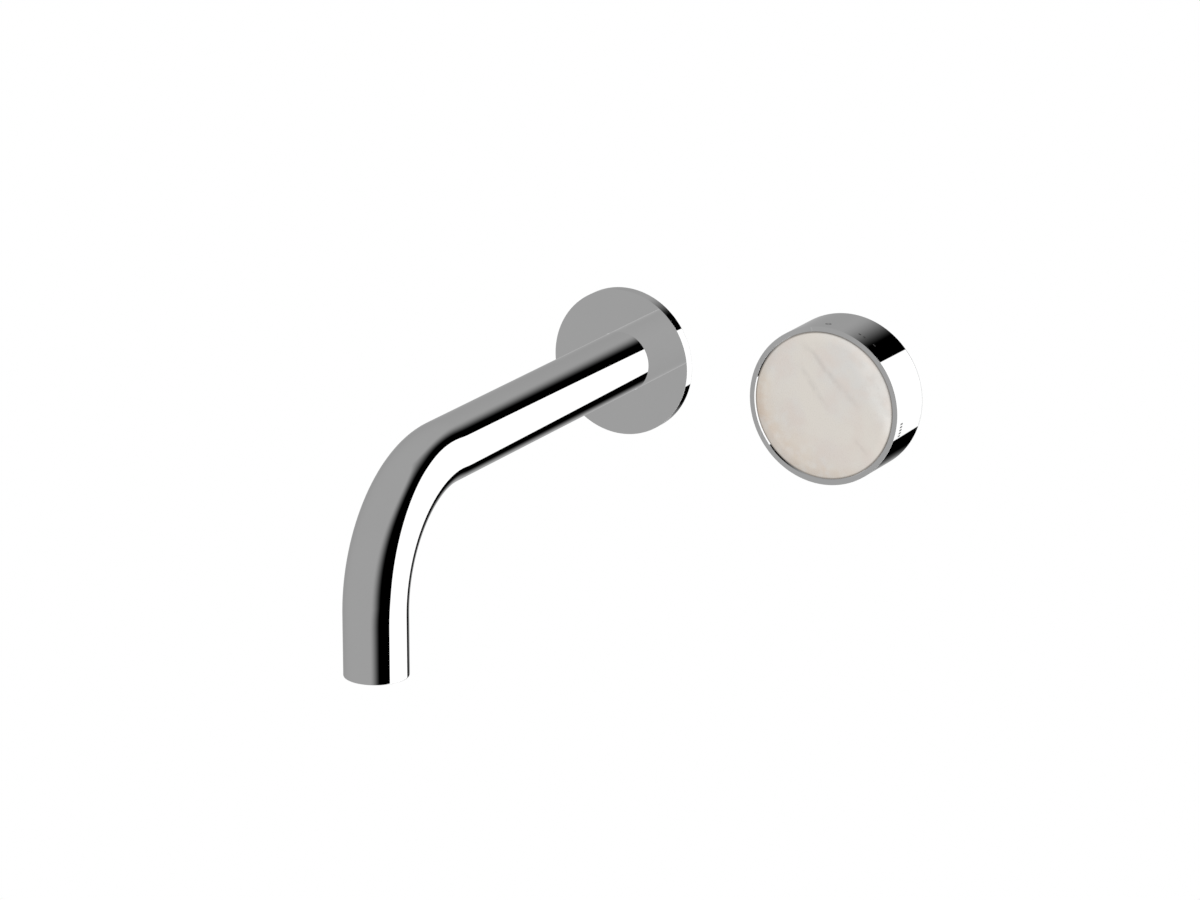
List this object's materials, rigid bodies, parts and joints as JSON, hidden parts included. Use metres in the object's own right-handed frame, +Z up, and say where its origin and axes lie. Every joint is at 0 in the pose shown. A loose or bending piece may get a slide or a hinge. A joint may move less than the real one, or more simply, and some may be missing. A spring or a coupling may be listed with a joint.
{
  "type": "wall mounted bath faucet",
  "caption": "Wall mounted bath faucet: bent round spout with a flange, a turning round knob with a stone inset, and the concealed mixer behind the wall.",
  "frame": {"origin": "centre of the spout flange on the finished wall face", "axes": "+X from the spout towards the knob, +Y into the wall, +Z up; the room is on the -Y side"},
  "size_m": [0.176, 0.2813, 0.118],
  "materials": {
    "chrome": "mirror polished",
    "brass": "as cast and machined",
    "copper": "drawn copper, dull",
    "steel": "machined",
    "zinc_steel": "zinc plated sheet",
    "rubber": "matt",
    "white_plastic": "moulded, matt",
    "grey_plastic": "moulded, matt",
    "ceramic": "lapped",
    "marble": "polished, faint veins"
  },
  "bodies": {
    "fixture": {"spout_tube": "chrome", "spout_grub_screw": "steel", "wall_flange": "chrome", "flange_o_ring": "rubber", "flange_gasket": "rubber", "aerator_housing": "chrome", "aerator_insert": "white_plastic", "aerator_screen": "steel", "aerator_seal": "rubber", "spout_connector": "brass", "connector_o_ring_front": "rubber", "connector_o_ring_rear": "rubber", "connector_washer": "rubber", "spout_elbow": "brass", "mixer_body": "brass", "transfer_pipe": "copper", "elbow_nut": "brass", "elbow_olive": "copper", "mixer_nut": "brass", "mixer_olive": "copper", "hot_inlet_nut": "brass", "hot_inlet_olive": "copper", "cold_inlet_nut": "brass", "cold_inlet_olive": "copper", "hot_check_valve": "white_plastic", "cold_check_valve": "white_plastic", "mounting_plate": "zinc_steel", "elbow_screw_upper": "steel", "elbow_screw_lower": "steel", "mixer_screw_left": "steel", "mixer_screw_right": "steel", "mixer_screw_lower": "steel", "cartridge_housing": "white_plastic", "cartridge_nut": "brass", "fixed_ceramic_disc": "ceramic", "cartridge_base_seal": "rubber", "limit_ring": "grey_plastic", "cover_sleeve": "chrome", "wall_seal": "rubber"},
    "knob": {"knob_shell": "chrome", "stone_inset": "marble", "inset_pad": "rubber", "handle_adapter": "brass", "knob_grub_screw": "steel", "cartridge_spindle": "brass", "spindle_o_ring": "rubber", "disc_carrier": "grey_plastic", "moving_ceramic_disc": "ceramic"}
  },
  "joints": [
    {"name": "knob_turn", "type": "hinge", "parent": "fixture", "child": "knob", "pos_m": [0.1, 0, 0], "axis": [0, -1, 0], "range_deg": [0, 105]}
  ]
}
